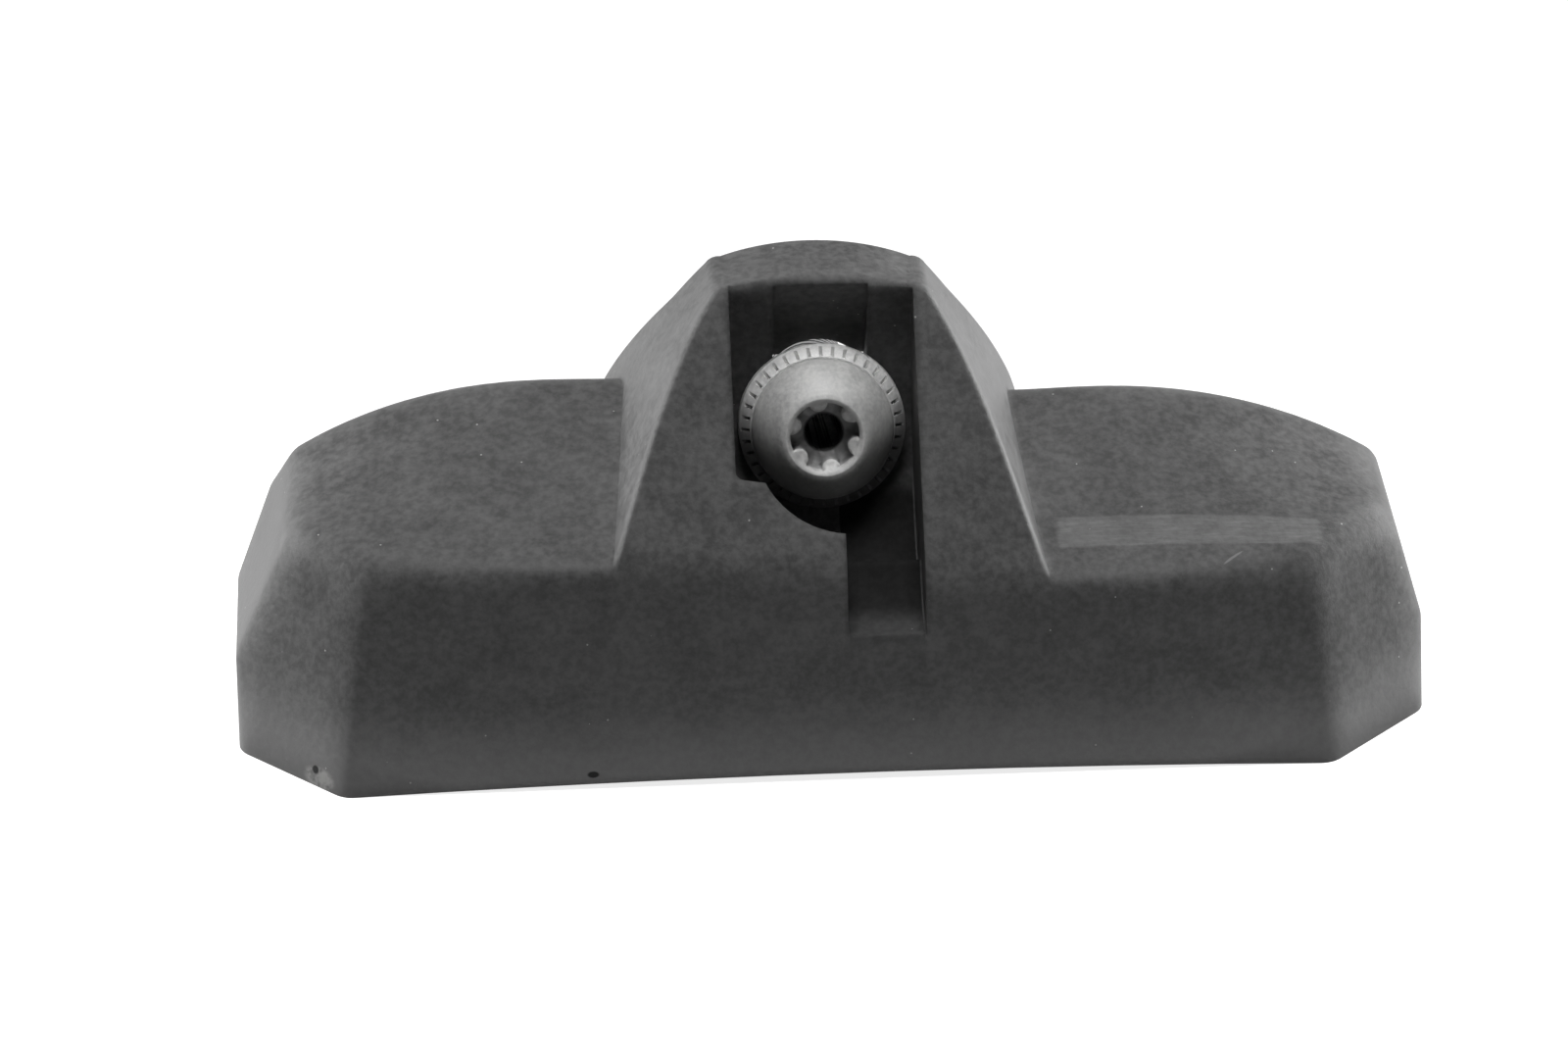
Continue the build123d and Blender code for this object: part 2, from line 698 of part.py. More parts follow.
# Low frequency coil: ferrite bar in its winding
flange_x = (core_length - flange_thickness) / 2
with BuildPart() as coil_core:
    with BuildSketch(Plane.YZ.offset(core_x - core_length / 2)):
        with Locations((core_y, mid_cavity_top + winding_side / 2)):
            Rectangle(core_side, core_side)
    extrude(amount=core_length)
    with BuildSketch(Plane.XY.offset(mid_cavity_top)):
        with Locations((core_x - flange_x, core_y), (core_x + flange_x, core_y)):
            Rectangle(flange_thickness, winding_side)
    extrude(amount=winding_side)

coil_core.part.label = "coil_core"
export_step(coil_core.part, "parts/coil_core.step")

with BuildPart() as coil_winding:
    with BuildSketch(Plane.YZ.offset(core_x - winding_length / 2)):
        with Locations((core_y, mid_cavity_top + winding_side / 2)):
            RectangleRounded(winding_side, winding_side, winding_round)
            Rectangle(core_side, core_side, mode=Mode.SUBTRACT)
    extrude(amount=winding_length)

coil_winding.part.label = "coil_winding"
export_step(coil_winding.part, "parts/coil_winding.step")

# Transmit antenna: a bent strip that stands on the board
with BuildPart() as antenna_strip:
    with BuildSketch(Plane.XZ.offset(-strip_y)):
        with BuildLine():
            Polyline(
                (strip_start, mid_cavity_top),
                (strip_start, strip_top),
                (strip_end - strip_slant, strip_top),
                (strip_end, strip_top - 1.5 * strip_slant),
                (strip_end, mid_cavity_top),
                (strip_end - strip_thickness, mid_cavity_top),
                (strip_end - strip_thickness, strip_top - 1.5 * strip_slant - bend_shift),
                (strip_end - strip_slant - bend_shift, strip_top - strip_thickness),
                (strip_start + strip_thickness, strip_top - strip_thickness),
                (strip_start + strip_thickness, mid_cavity_top),
                close=True,
            )
        make_face()
    extrude(amount=strip_width / 2, both=True)

antenna_strip.part.label = "antenna_strip"
export_step(antenna_strip.part, "parts/antenna_strip.step")
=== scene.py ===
# %% [markdown]
# # A tyre pressure sensor
# The sensor sits inside a wheel: a dark nylon housing with two sloping wings, and a hollow steel screw
# in the middle that holds it to the valve. The exact shapes come from the CAD model, which is loaded
# here as a fixed frame in metres. This script gives it the screw's thread, its finishes and its light.

# %% Load the frame
import json
import math

import bmesh
import bpy
from mathutils import Matrix, Quaternion, Vector

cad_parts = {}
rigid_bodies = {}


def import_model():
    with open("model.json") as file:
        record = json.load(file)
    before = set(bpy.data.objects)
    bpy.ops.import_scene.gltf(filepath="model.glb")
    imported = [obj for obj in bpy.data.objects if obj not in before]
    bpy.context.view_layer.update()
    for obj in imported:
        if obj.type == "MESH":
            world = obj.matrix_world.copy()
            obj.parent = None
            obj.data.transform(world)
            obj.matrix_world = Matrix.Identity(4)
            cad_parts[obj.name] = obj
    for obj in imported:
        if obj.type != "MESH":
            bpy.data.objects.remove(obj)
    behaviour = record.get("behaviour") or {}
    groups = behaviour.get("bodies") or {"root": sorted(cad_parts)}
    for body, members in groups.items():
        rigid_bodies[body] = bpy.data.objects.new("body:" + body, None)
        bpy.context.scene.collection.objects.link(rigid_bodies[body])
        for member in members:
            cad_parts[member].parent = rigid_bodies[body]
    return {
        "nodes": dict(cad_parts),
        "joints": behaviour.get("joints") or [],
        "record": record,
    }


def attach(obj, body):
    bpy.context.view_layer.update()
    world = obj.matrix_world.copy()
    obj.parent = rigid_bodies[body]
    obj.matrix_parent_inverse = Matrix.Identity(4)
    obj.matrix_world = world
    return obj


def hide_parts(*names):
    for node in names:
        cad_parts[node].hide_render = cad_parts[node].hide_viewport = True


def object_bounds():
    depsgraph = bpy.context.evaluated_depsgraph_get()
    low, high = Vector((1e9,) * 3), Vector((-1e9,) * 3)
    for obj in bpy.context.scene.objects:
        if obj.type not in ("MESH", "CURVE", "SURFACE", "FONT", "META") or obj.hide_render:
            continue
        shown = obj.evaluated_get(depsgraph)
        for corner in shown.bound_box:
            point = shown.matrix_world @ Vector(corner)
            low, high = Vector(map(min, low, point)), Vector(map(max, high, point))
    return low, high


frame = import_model()
cad_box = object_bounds()
scene = bpy.context.scene
MM = 0.001

# %% [markdown]
# ## Wiring nodes in code
# In the editor a finish is made by drawing links between nodes. A script does the same with nodes.new and
# links.new. That soon gets long, so each kind of node that comes up again has a short helper here. What
# is given to a helper can be a plain number or the output of another node.


# %% Helpers for sums and masks
def feed(tree, socket, value):
    if isinstance(value, bpy.types.NodeSocket):
        tree.links.new(value, socket)
    else:
        socket.default_value = value


def add_math(tree, operation, *values, kind="ShaderNodeMath"):
    node = tree.nodes.new(kind)
    node.operation = operation
    for socket, value in zip(node.inputs, values):
        feed(tree, socket, value)
    return node.outputs["Value"]


def combine(tree, operation, first, *others):
    for other in others:
        first = add_math(tree, operation, first, other)
    return first


def add_range(tree, value, low, high, out_low=0.0, out_high=1.0):
    ramp = tree.nodes.new("ShaderNodeMapRange")
    ramp.interpolation_type = "SMOOTHSTEP"
    limits = {"From Min": low, "From Max": high, "To Min": out_low, "To Max": out_high}
    for label, limit in limits.items():
        ramp.inputs[label].default_value = limit
    feed(tree, ramp.inputs["Value"], value)
    return ramp.outputs["Result"]


print("helpers for sums and masks are ready")


# %% Helpers for places and noise
def split_xyz(tree, vector):
    node = tree.nodes.new("ShaderNodeSeparateXYZ")
    tree.links.new(vector, node.inputs["Vector"])
    return node.outputs


def stretch(tree, vector, factors):
    node = tree.nodes.new("ShaderNodeVectorMath")
    node.operation = "MULTIPLY"
    tree.links.new(vector, node.inputs[0])
    feed(tree, node.inputs[1], factors)
    return node.outputs["Vector"]


def measure(tree, vector):
    return add_math(tree, "LENGTH", vector, kind="ShaderNodeVectorMath")


def lay_down(tree, place, centre, turn, size=(1.0, 1.0, 1.0)):
    node = tree.nodes.new("ShaderNodeMapping")
    node.vector_type = "TEXTURE"
    node.inputs["Location"].default_value = centre
    node.inputs["Rotation"].default_value = turn
    node.inputs["Scale"].default_value = size
    tree.links.new(place, node.inputs["Vector"])
    return node.outputs["Vector"]


def add_noise(tree, vector, scale, detail, roughness):
    noise = tree.nodes.new("ShaderNodeTexNoise")
    feed(tree, noise.inputs["Vector"], vector)
    feed(tree, noise.inputs["Scale"], scale)
    noise.inputs["Detail"].default_value = detail
    noise.inputs["Roughness"].default_value = roughness
    return noise.outputs["Fac"]


print("helpers for places and noise are ready")

# %% [markdown]
# ## Effects that several finishes share
# A moulded or turned surface is never one even colour. Each effect below is a node group with named
# inputs, so that a finish only says how coarse or strong it wants it. The nodes could also be repeated
# in each material, but one group keeps the look of all the pieces together.


# %% A helper that starts a node group
def start_group(name, inputs, outputs):
    group = bpy.data.node_groups.new(name, "ShaderNodeTree")
    group.interface.new_socket("Vector", in_out="INPUT", socket_type="NodeSocketVector")
    for label, value in inputs.items():
        kind = "NodeSocketVector" if isinstance(value, tuple) else "NodeSocketFloat"
        socket = group.interface.new_socket(label, in_out="INPUT", socket_type=kind)
        socket.default_value = value
    for label in outputs:
        group.interface.new_socket(label, in_out="OUTPUT", socket_type="NodeSocketFloat")
    given = group.nodes.new("NodeGroupInput").outputs
    out = group.nodes.new("NodeGroupOutput").inputs
    return group, given, out


print("helper for node groups is ready")

# %% [markdown]
# Spark-eroded mould grain: a fine noise for the touch of the surface, and a slow one for the patches where
# the glass-filled plastic froze a little lighter. The height goes to a Bump node, the shade to the colour.

# %% Mould grain
grain_share = 0.6
patch_share = 0.4


def make_mould_grain():
    sizes = {"Grains per metre": 2600.0, "Patches per metre": 120.0}
    group, given, out = start_group("mould grain", sizes, ("Height", "Shade"))
    grain = add_noise(group, given["Vector"], given["Grains per metre"], detail=3.0, roughness=0.6)
    patches = add_noise(group, given["Vector"], given["Patches per metre"], detail=4.0, roughness=0.55)
    slow = add_math(group, "MULTIPLY", add_range(group, patches, 0.3, 0.7), patch_share)
    shade = add_math(group, "MULTIPLY_ADD", add_range(group, grain, 0.3, 0.7), grain_share, slow)
    group.links.new(grain, out["Height"])
    group.links.new(shade, out["Shade"])
    return group


mould_grain = make_mould_grain()
print("mould grain:", len(mould_grain.nodes), "nodes")

# %% [markdown]
# Rub marks are long thin streaks where a hand, a cloth or a tool went over the piece. A noise that is
# stretched along one direction gives them, and the same group makes the drawn lines on sheet metal.


# %% Rub marks
def make_rub_marks():
    sizes = {"Streaks per metre": (60.0, 900.0, 900.0)}
    group, given, out = start_group("rub marks", sizes, ("Mask",))
    drawn_out = stretch(group, given["Vector"], given["Streaks per metre"])
    streaks = add_noise(group, drawn_out, 1.0, detail=4.0, roughness=0.65)
    group.links.new(add_range(group, streaks, 0.45, 0.75), out["Mask"])
    return group


rub_marks = make_rub_marks()
print("rub marks:", len(rub_marks.nodes), "nodes")

# %% [markdown]
# Dust settles as separate specks. Voronoi cells give one point per cell, and only cells whose random
# number is high enough keep theirs, so the specks come out scattered.


# %% Dust specks
def make_dust_specks():
    sizes = {"Cells per metre": 500.0, "Speck size": 0.06, "Kept from": 0.8}
    group, given, out = start_group("dust specks", sizes, ("Mask",))
    cells = group.nodes.new("ShaderNodeTexVoronoi")
    group.links.new(given["Vector"], cells.inputs["Vector"])
    group.links.new(given["Cells per metre"], cells.inputs["Scale"])
    near = add_math(group, "LESS_THAN", cells.outputs["Distance"], given["Speck size"])
    pick = group.nodes.new("ShaderNodeSeparateColor")
    group.links.new(cells.outputs["Color"], pick.inputs["Color"])
    kept = add_math(group, "GREATER_THAN", pick.outputs["Red"], given["Kept from"])
    group.links.new(add_math(group, "MULTIPLY", near, kept), out["Mask"])
    return group


dust_specks = make_dust_specks()
print("dust specks:", len(dust_specks.nodes), "nodes")

# %% [markdown]
# ## Starting a finish
# Every finish is one Principled shader. Values that are the same all over are set on its sockets, and
# only what changes over the surface is linked. A colour is built up as a painter would do it: a ground,
# and then layers, each with a mask, a strength and a tint.


# %% A class that starts a finish
class Finish:
    def __init__(self, name, roughness, metallic=0.0):
        self.material = bpy.data.materials.new(name)
        self.material.use_nodes = True
        self.tree = self.material.node_tree
        self.shader = self.tree.nodes["Principled BSDF"]
        self.shader.inputs["Roughness"].default_value = roughness
        self.shader.inputs["Metallic"].default_value = metallic
        self.place = self.tree.nodes.new("ShaderNodeTexCoord").outputs["Object"]

    def effect(self, group, **values):
        node = self.tree.nodes.new("ShaderNodeGroup")
        node.node_tree = group
        self.tree.links.new(self.place, node.inputs["Vector"])
        for label, value in values.items():
            node.inputs[label.replace("_", " ")].default_value = value
        return node.outputs

    def mix(self, amount, first, second):
        node = self.tree.nodes.new("ShaderNodeMix")
        node.data_type = "RGBA"
        factor, colour_a, colour_b = node.inputs[0], node.inputs[6], node.inputs[7]
        feed(self.tree, factor, amount)
        for socket, value in ((colour_a, first), (colour_b, second)):
            feed(self.tree, socket, (*value, 1.0) if isinstance(value, tuple) else value)
        return node.outputs[2]

    def link(self, value, label):
        self.tree.links.new(value, self.shader.inputs[label])

    def layer(self, colour, layers):
        for mask, strength, tint in layers:
            colour = self.mix(add_math(self.tree, "MULTIPLY", mask, strength), colour, tint)
        self.link(colour, "Base Color")

    def bump(self, height, strength, depth, normal=None):
        node = self.tree.nodes.new("ShaderNodeBump")
        if normal:
            self.tree.links.new(normal, node.inputs["Normal"])
        node.inputs["Strength"].default_value = strength
        node.inputs["Distance"].default_value = depth
        self.tree.links.new(height, node.inputs["Height"])
        self.link(node.outputs["Normal"], "Normal")


def dress(piece, material):
    piece.data.materials.clear()
    piece.data.materials.append(material)


print("finishes can be started")

# %% [markdown]
# ## Housing
# The housing is one moulding of black glass-filled nylon. It looks grey because its matte grain scatters
# the light. The shape is the CAD solid itself, because its roundings are already there. What is left are
# the marks of use and some painted light and shade, each placed by its own coordinates: an oval that
# fades out at its rim, or a band between two limits. An image would also do, but it would need a fixed
# view to be laid on from.


# %% Masks for single marks
def in_metres(values):
    return [value * MM for value in values]


def add_oval(finish, centre, radii, turn):
    angles = (0.0, 0.0, math.radians(turn))
    laid = lay_down(finish.tree, finish.place, in_metres(centre), angles, in_metres(radii))
    return add_range(finish.tree, measure(finish.tree, laid), 0.6, 1.0, 1.0, 0.0)


def add_band(finish, value, limits, fade):
    start, end = limits
    rise = add_range(finish.tree, value, *in_metres((start, start + fade)))
    fall = add_range(finish.tree, value, *in_metres((end - fade, end)), 1.0, 0.0)
    return add_math(finish.tree, "MULTIPLY", rise, fall)


print("masks: oval and band")

# %% [markdown]
# The right wing has a pale etched panel with fine lines along it, and below it a short scratch. The left
# corner was chipped at its lower edge, and a small dent sits on the front's lower edge. The hollows of the
# chip and the dent are painted black, as painted shade. An oval is given by its centre, its radii in
# millimetres and its turn about Z in degrees.

# %% Panel, scratch, chip and dent
panel_x = (12.4, 27.5)
panel_y = (-7.5, -5.0)
panel_floor = 10.5
scratch = ((22.1, -8.5, 11.85), (0.95, 0.09, 0.5), 38.0)
chip = ((-28.5, -9.5, 0.5), (1.35, 0.9, 0.75), -45.0)
chip_pit = ((-28.7, -9.2, 0.9), (0.3, 0.3, 0.3), 0.0)
dent = ((-13.4, -10.9, 0.9), (0.4, 0.4, 0.24), 0.0)


def add_pale_marks(finish, spot):
    streaks = finish.effect(rub_marks, Streaks_per_metre=(500.0, 4200.0, 4200.0))["Mask"]
    across = add_band(finish, spot["X"], panel_x, fade=0.5)
    along = add_band(finish, spot["Y"], panel_y, fade=0.25)
    above = add_math(finish.tree, "GREATER_THAN", spot["Z"], panel_floor * MM)
    lines = add_math(finish.tree, "MULTIPLY_ADD", streaks, 0.45, 0.4)
    panel = combine(finish.tree, "MULTIPLY", across, along, above, lines)
    return add_math(finish.tree, "MAXIMUM", panel, add_oval(finish, *scratch))


# Painted shade: the hollows of the dent and of the chip, painted black.
def add_pit_shade(finish):
    return add_math(finish.tree, "MAXIMUM", add_oval(finish, *dent), add_oval(finish, *chip_pit))


def add_chip(finish, height):
    torn = add_range(finish.tree, height, 0.3, 0.6)
    return add_math(finish.tree, "MULTIPLY", add_oval(finish, *chip), torn)


print("etched panel:", round(panel_x[1] - panel_x[0], 2), "mm long")

# %% [markdown]
# The foot is painted paler all along, most at the very edge, as painted light from the table, and the groove
# that leaves the screw's pocket gets painted shade. Both depend only on where a point lies, so ranges of its
# coordinates make them.

# %% Painted light on the foot and painted shade in the groove
foot_light_span = (0.5, 6.0)
groove_x = (0.85, 5.05)
groove_y = (-1.0, 0.0)
groove_z = (7.8, 18.0)


# Painted light: paler towards the foot, as light thrown up from the table.
def add_foot_light(finish, spot):
    return add_range(finish.tree, spot["Z"], *in_metres(foot_light_span), 1.0, 0.0)


# Painted shade in the groove below the screw's pocket.
def add_groove_shade(finish, spot):
    between = add_band(finish, spot["X"], groove_x, fade=0.05)
    below = add_band(finish, spot["Z"], groove_z, fade=1.5)
    in_front = add_range(finish.tree, spot["Y"], *in_metres(groove_y), 1.0, 0.0)
    return combine(finish.tree, "MULTIPLY", between, below, in_front)


print("painted foot light:", foot_light_span[1], "mm high")

# %% [markdown]
# The corners at the two ends look softer than the edges in the middle. A larger rounding in the solid would
# show that too, but it would move the outline. A Bevel node changes the shading alone: it averages
# the normal over a radius, and the radius grows towards the ends.

# %% Soft corners
soft_x = (20.0, 28.0)
soft_edge = (0.6, 3.5)


def add_soft_corners(finish, spot):
    soft = finish.tree.nodes.new("ShaderNodeBevel")
    soft.samples = 4
    from_middle = add_math(finish.tree, "ABSOLUTE", spot["X"])
    radius = add_range(finish.tree, from_middle, *in_metres(soft_x), *in_metres(soft_edge))
    feed(finish.tree, soft.inputs["Radius"], radius)
    return soft.outputs["Normal"]


print("soft corners:", soft_edge[1], "mm at the ends")

# %% [markdown]
# Now the nylon comes together: a grey ground with grain, the marks and the painted light and shade as layers
# on it, and a roughness that follows the grain. The painted shade in the groove also takes the last gloss
# away, so the groove stays dark from every side.

# %% Nylon of the housing
nylon_dark = (0.05, 0.05, 0.05)
nylon_light = (0.105, 0.105, 0.105)
# A pale grey for the rubbed panel and for the painted light at the foot.
rubbed_and_lit_grey = (0.24, 0.24, 0.24)
chip_grey = (0.36, 0.36, 0.35)
speck_grey = (0.45, 0.45, 0.44)
# A near-black for painted shade in the groove, the chip and the dent.
painted_shade_black = (0.006, 0.006, 0.006)


def make_nylon():
    nylon = Finish("glass filled nylon", roughness=0.5)
    nylon.shader.inputs["Specular IOR Level"].default_value = 0.15
    spot = split_xyz(nylon.tree, nylon.place)
    grain = nylon.effect(mould_grain, Grains_per_metre=2200.0, Patches_per_metre=420.0)
    specks = nylon.effect(dust_specks, Cells_per_metre=900.0, Speck_size=0.05, Kept_from=0.65)
    groove_shade = add_groove_shade(nylon, spot)
    layers = (
        # painted light at the foot
        (add_foot_light(nylon, spot), 0.5, rubbed_and_lit_grey),
        (add_pale_marks(nylon, spot), 0.5, rubbed_and_lit_grey),
        (add_chip(nylon, grain["Height"]), 0.8, chip_grey),
        (specks["Mask"], 0.6, speck_grey),
        # painted shade in the groove
        (groove_shade, 0.86, painted_shade_black),
        # painted shade in the hollows of the chip and the dent
        (add_pit_shade(nylon), 1.0, painted_shade_black),
    )
    nylon.layer(nylon.mix(grain["Shade"], nylon_dark, nylon_light), layers)
    rough = add_range(nylon.tree, grain["Shade"], 0.0, 1.0, 0.44, 0.56)
    nylon.link(add_math(nylon.tree, "MAXIMUM", rough, groove_shade), "Roughness")
    corners = add_soft_corners(nylon, spot)
    nylon.bump(grain["Height"], strength=0.4, depth=0.06 * MM, normal=corners)
    return nylon.material


nylon = make_nylon()
dress(frame["nodes"]["housing"], nylon)
print("housing dressed in", nylon.name)

# %% [markdown]
# ## Valve screw
# The screw is turned and plated steel with a domed head, a six-lobe drive and a bore for the air. The CAD
# solid has its shank as thick as the thread's crest. Its place and sizes are read from the frame: the axis
# from the joint that turns it, the shank from the mount that a valve screws onto.

# %% Sizes of the thread
turning = [joint for joint in frame["joints"] if joint["name"] == "screw_turn"][0]
screw_origin = Vector(turning["pos_m"])
screw_axis = Vector(turning["axis"]).normalized()
screw_turn = screw_axis.to_track_quat("Z", "X")

shank = [mount for mount in frame["record"]["mounts"] if mount["name"] == "screw_thread"][0]
shank_half = shank["dims"]["length_mm"] / 2 * MM
shank_middle = (screw_origin - Vector(shank["pos_m"])).dot(screw_axis)
neck_length = shank_middle - shank_half
thread_start = neck_length + 0.3 * MM
thread_end = shank_middle + shank_half - 0.05 * MM
thread_pitch = 0.8 * MM

crest_radius = shank["dims"]["r_mm"] * MM
ridge_radius = 0.26 * MM
root_radius = crest_radius - 1.4 * ridge_radius
print("thread:", round((thread_end - thread_start) / thread_pitch, 1), "turns")

# %% [markdown]
# The thread needs a thinner core to stand on. A CAD mesh is never changed, so a copy of the screw is turned
# down: each point of the shank that lies outside the root of the thread is moved in to it.

# %% Turn the shank of a copy down to the root
merge_distance = 0.002 * MM
neck_tolerance = 0.01 * MM


def turned_down_screw():
    shape = bmesh.new()
    shape.from_mesh(frame["nodes"]["valve_screw"].data)
    bmesh.ops.remove_doubles(shape, verts=shape.verts, dist=merge_distance)
    for vertex in shape.verts:
        along = (vertex.co - screw_origin).dot(screw_axis)
        middle = screw_origin + screw_axis * along
        arm = vertex.co - middle
        if along < neck_tolerance - neck_length and arm.length > root_radius:
            vertex.co = middle + arm.normalized() * root_radius
    mesh = bpy.data.meshes.new("screw body")
    shape.to_mesh(mesh)
    shape.free()
    return mesh


screw_mesh = turned_down_screw()
print("screw body:", len(screw_mesh.polygons), "faces")

# %% [markdown]
# The ridge of the thread is wound with Geometry Nodes: a spiral, swept with a three-sided profile. Modelling
# each turn by hand would give the same look, but could not follow a change of pitch.


# %% Node tree of the thread
def make_thread_tree():
    tree = bpy.data.node_groups.new("wound thread", "GeometryNodeTree")
    for label in ("Pitch", "Length", "Centre radius", "Ridge radius"):
        tree.interface.new_socket(label, in_out="INPUT", socket_type="NodeSocketFloat")
    tree.interface.new_socket("Finish", in_out="INPUT", socket_type="NodeSocketMaterial")
    tree.interface.new_socket("Geometry", in_out="OUTPUT", socket_type="NodeSocketGeometry")
    given = tree.nodes.new("NodeGroupInput").outputs
    out = tree.nodes.new("NodeGroupOutput").inputs
    spiral = tree.nodes.new("GeometryNodeCurveSpiral")
    spiral.inputs["Resolution"].default_value = 40
    turns = add_math(tree, "DIVIDE", given["Length"], given["Pitch"])
    tree.links.new(turns, spiral.inputs["Rotations"])
    tree.links.new(given["Length"], spiral.inputs["Height"])
    tree.links.new(given["Centre radius"], spiral.inputs["Start Radius"])
    tree.links.new(given["Centre radius"], spiral.inputs["End Radius"])
    upright = tree.nodes.new("GeometryNodeSetCurveNormal")
    upright.mode = "Z_UP"
    tree.links.new(spiral.outputs["Curve"], upright.inputs["Curve"])
    profile = tree.nodes.new("GeometryNodeCurvePrimitiveCircle")
    profile.inputs["Resolution"].default_value = 3
    tree.links.new(given["Ridge radius"], profile.inputs["Radius"])
    sweep = tree.nodes.new("GeometryNodeCurveToMesh")
    sweep.inputs["Fill Caps"].default_value = True
    tree.links.new(upright.outputs["Curve"], sweep.inputs["Curve"])
    tree.links.new(profile.outputs["Curve"], sweep.inputs["Profile Curve"])
    real = tree.nodes.new("GeometryNodeRealizeInstances")
    tree.links.new(sweep.outputs["Mesh"], real.inputs["Geometry"])
    paint = tree.nodes.new("GeometryNodeSetMaterial")
    tree.links.new(real.outputs["Geometry"], paint.inputs["Geometry"])
    tree.links.new(given["Finish"], paint.inputs["Material"])
    tree.links.new(paint.outputs["Geometry"], out["Geometry"])
    return tree


thread_tree = make_thread_tree()
print("wound thread:", len(thread_tree.nodes), "nodes")

# %% [markdown]
# ## Plated steel
# The screw and its washer are grey plated steel. The head was turned on a lathe, so fine rings run round its
# axis: a wave texture makes them, once a Mapping node has laid the screw's axis along Z. The same
# coordinates tell how far a point is from the axis and how deep it lies, which is all that is needed to
# paint shade into the bore and the recess of the drive, and to make the thread darker. The lower half of the
# washer and of the dome gets painted shade, up to the rim of the drive.

# %% Depths and tints of the steel
bore_radius = 1.05 * MM
drive_radius = 2.0 * MM
drive_mouth = 2.1 * MM
# How far along the axis the thread is painted darker.
dark_thread_span = (-7.0 * MM, -3.0 * MM)
# Painted shade on the lower half of the washer and the dome: where it fades out, and how far from the axis
# it starts.
lower_shade_fade = (15.5 * MM, 19.5 * MM)
lower_shade_rim = (2.2 * MM, 2.7 * MM)
# Tints below: painted shade in the drive's recess, a darker thread, painted shade on the lower half, painted
# shade in the bore.
recess_shade_grey = (0.26, 0.26, 0.26)
dark_thread_grey = (0.2, 0.2, 0.2)
lower_shade_grey = (0.04, 0.04, 0.04)
bore_shade_grey = (0.03, 0.03, 0.03)


def add_turning_rings(steel):
    rings = steel.tree.nodes.new("ShaderNodeTexWave")
    rings.wave_type = "RINGS"
    rings.rings_direction = "Z"
    rings.inputs["Scale"].default_value = 1500.0
    rings.inputs["Distortion"].default_value = 3.0
    steel.tree.links.new(steel.place, rings.inputs["Vector"])
    return rings.outputs["Fac"]


# Painted shade in the drive's recess: dark inside its radius, below its mouth.
def add_recess_shade(steel, reach, depth):
    inside = add_range(steel.tree, reach, drive_radius, 1.05 * drive_radius, 1.0, 0.0)
    sunk = add_range(steel.tree, depth, 0.9 * drive_mouth, drive_mouth, 1.0, 0.0)
    return add_math(steel.tree, "MULTIPLY", inside, sunk)


# Painted shade on the lower half, outside the rim of the drive.
def add_lower_shade(steel, reach, height):
    low = add_range(steel.tree, height, *lower_shade_fade, 1.0, 0.0)
    outside = add_range(steel.tree, reach, *lower_shade_rim)
    return add_math(steel.tree, "MULTIPLY", low, outside)


print("bore:", round(2 * bore_radius / MM, 2), "mm wide")


# %% Steel of the screw and the washer
def make_plated_steel(name, dark, light, roughness, metallic, lower_shade):
    steel = Finish(name, roughness, metallic)
    height = split_xyz(steel.tree, steel.place)["Z"]
    steel.place = lay_down(steel.tree, steel.place, screw_origin, screw_turn.to_euler())
    depth = split_xyz(steel.tree, steel.place)["Z"]
    reach = measure(steel.tree, stretch(steel.tree, steel.place, (1.0, 1.0, 0.0)))
    grain = steel.effect(mould_grain, Grains_per_metre=3800.0, Patches_per_metre=700.0)
    marks = steel.effect(rub_marks, Streaks_per_metre=(350.0, 2600.0, 900.0))
    layers = (
        (marks["Mask"], 0.35, light),
        # painted shade in the drive's recess
        (add_recess_shade(steel, reach, depth), 1.0, recess_shade_grey),
        # the thread is painted darker
        (add_range(steel.tree, depth, *dark_thread_span, 1.0, 0.0), 1.0, dark_thread_grey),
        # painted shade on the lower half
        (add_lower_shade(steel, reach, height), lower_shade, lower_shade_grey),
        # painted shade in the bore
        (add_range(steel.tree, reach, bore_radius, 1.15 * bore_radius, 1.0, 0.0), 1.0, bore_shade_grey),
    )
    steel.layer(steel.mix(grain["Shade"], dark, light), layers)
    rough = add_range(steel.tree, grain["Shade"], 0.0, 1.0, roughness - 0.08, roughness + 0.1)
    steel.link(rough, "Roughness")
    relief = add_math(steel.tree, "MULTIPLY_ADD", add_turning_rings(steel), 0.2, grain["Height"])
    steel.bump(relief, strength=0.5, depth=0.03 * MM)
    return steel.material


screw_steel = make_plated_steel(
    "screw steel", (0.37, 0.37, 0.37), (0.58, 0.58, 0.57), roughness=0.68, metallic=0.4, lower_shade=0.55
)
washer_steel = make_plated_steel(
    "washer steel", (0.56, 0.56, 0.56), (0.86, 0.86, 0.85), roughness=0.65, metallic=0.5, lower_shade=0.85
)
print("plated steel:", screw_steel.name, "and", washer_steel.name)

# %% [markdown]
# ## Joining the screw
# The tree is run once on an empty carrier, and its result is kept as a plain mesh, because the thread has to
# become one piece with the turned body. That piece then stands for the CAD screw and turns with it.


# %% Run a node tree
def grow(name, tree, values):
    carrier = bpy.data.objects.new(name, bpy.data.meshes.new(name))
    scene.collection.objects.link(carrier)
    modifier = carrier.modifiers.new(name, "NODES")
    modifier.node_group = tree
    for socket in tree.interface.items_tree:
        if socket.in_out == "INPUT" and socket.name in values:
            modifier[socket.identifier] = values[socket.name]
    graph = bpy.context.evaluated_depsgraph_get()
    mesh = bpy.data.meshes.new_from_object(carrier.evaluated_get(graph))
    bpy.data.objects.remove(carrier)
    return mesh


